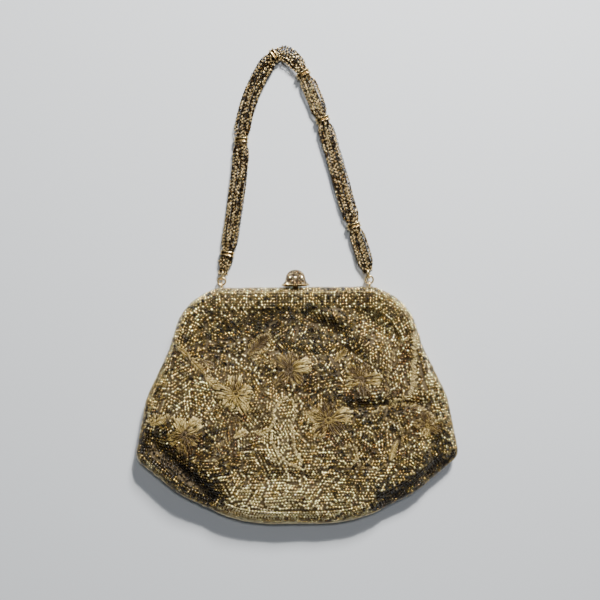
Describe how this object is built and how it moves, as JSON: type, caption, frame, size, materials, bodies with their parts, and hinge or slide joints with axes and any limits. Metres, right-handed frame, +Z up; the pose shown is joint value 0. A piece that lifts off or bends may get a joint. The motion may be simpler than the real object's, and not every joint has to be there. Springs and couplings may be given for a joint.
{
  "type": "evening bag",
  "caption": "Small beaded evening bag with a hinged clasp frame, a jewelled knob clasp and a gold chain handle; holds a few small things.",
  "frame": {"origin": "middle of the pouch, on the back's flat rest face", "axes": "the bag lies on its back: +X to the right as the front is seen, +Y from the bottom towards the handle, +Z up, out of the front"},
  "size_m": [0.2135, 0.3221, 0.0229],
  "materials": {
    "beaded_fabric": "champagne seed beads sewn close on fabric",
    "beaded_cover": "champagne seed beads in rows over the frame",
    "gold_frame": "gilded, satin",
    "gold_fittings": "gilded, polished",
    "clasp_stone_glass": "foil-backed pale pink glass",
    "gold_chain": "gilded, polished fine chain",
    "satin_lining": "cream satin",
    "steel": "plain"
  },
  "bodies": {
    "bag": {"rear_frame": "gold_frame", "rear_frame_cover": "beaded_cover", "rear_clamp_strip": "gold_frame", "hinge_pin_left": "steel", "hinge_pin_right": "steel", "frame_eye_left": "gold_fittings", "frame_eye_right": "gold_fittings", "rear_panel": "beaded_fabric", "front_panel_lower": "beaded_fabric", "lining_rear": "satin_lining", "lining_front_lower": "satin_lining", "lining_pocket": "satin_lining", "clasp_bracket": "gold_frame", "clasp_pivot_pin": "steel", "clasp_spring": "steel"},
    "front_half": {"front_frame": "gold_frame", "front_frame_cover": "beaded_cover", "front_clamp_strip": "gold_frame", "front_panel_upper": "beaded_fabric", "lining_front_upper": "satin_lining", "clasp_keeper": "gold_frame", "keeper_rivets": "gold_frame"},
    "clasp": {"clasp_lever": "gold_frame", "clasp_flange": "gold_fittings", "clasp_cap": "gold_fittings", "clasp_stones": "clasp_stone_glass"},
    "ring_left": {"handle_ring_left": "gold_fittings"},
    "ring_right": {"handle_ring_right": "gold_fittings"},
    "handle_lower": {"strand_ring_left": "gold_fittings", "strand_ring_right": "gold_fittings", "strands_left_lower": "gold_chain", "collar_left_lower": "gold_fittings", "strands_left_middle": "gold_chain", "collar_left_middle": "gold_fittings", "strands_right_middle": "gold_chain", "collar_right_lower": "gold_fittings", "strands_right_lower": "gold_chain"},
    "handle_upper": {"strands_left_upper": "gold_chain", "collar_left_upper": "gold_fittings", "strands_top": "gold_chain", "collar_right_upper": "gold_fittings", "strands_right_upper": "gold_chain", "collar_right_middle": "gold_fittings", "strands_right_fold": "gold_chain"}
  },
  "joints": [
    {"name": "front_opening", "type": "hinge", "parent": "bag", "child": "front_half", "pos_m": [0, 0.043, 0.0079], "axis": [1, 0, 0], "range_deg": [0, 60]},
    {"name": "clasp_tilt", "type": "hinge", "parent": "bag", "child": "clasp", "pos_m": [0, 0.0734, 0.006], "axis": [1, 0, 0], "range_deg": [-15, 0], "stiffness_Nm_per_rad": 0.01, "springref_deg": 20.05},
    {"name": "ring_left_swing", "type": "hinge", "parent": "bag", "child": "ring_left", "pos_m": [-0.05, 0.0831, 0.0035], "axis": [1, 0, 0], "range_deg": [0, 50]},
    {"name": "ring_right_swing", "type": "hinge", "parent": "bag", "child": "ring_right", "pos_m": [0.05, 0.0831, 0.0035], "axis": [1, 0, 0], "range_deg": [0, 50]},
    {"name": "handle_swing", "type": "hinge", "parent": "ring_left", "child": "handle_lower", "pos_m": [-0.05, 0.0883, 0.0035], "axis": [1, 0, 0], "range_deg": [0, 50]},
    {"name": "handle_fold", "type": "hinge", "parent": "handle_lower", "child": "handle_upper", "pos_m": [0, 0.186, 0.003], "axis": [1, 0, 0], "range_deg": [0, 95]}
  ],
  "couplings": [
    {"joint": "ring_right_swing", "follows": "ring_left_swing", "ratio": 1}
  ]
}
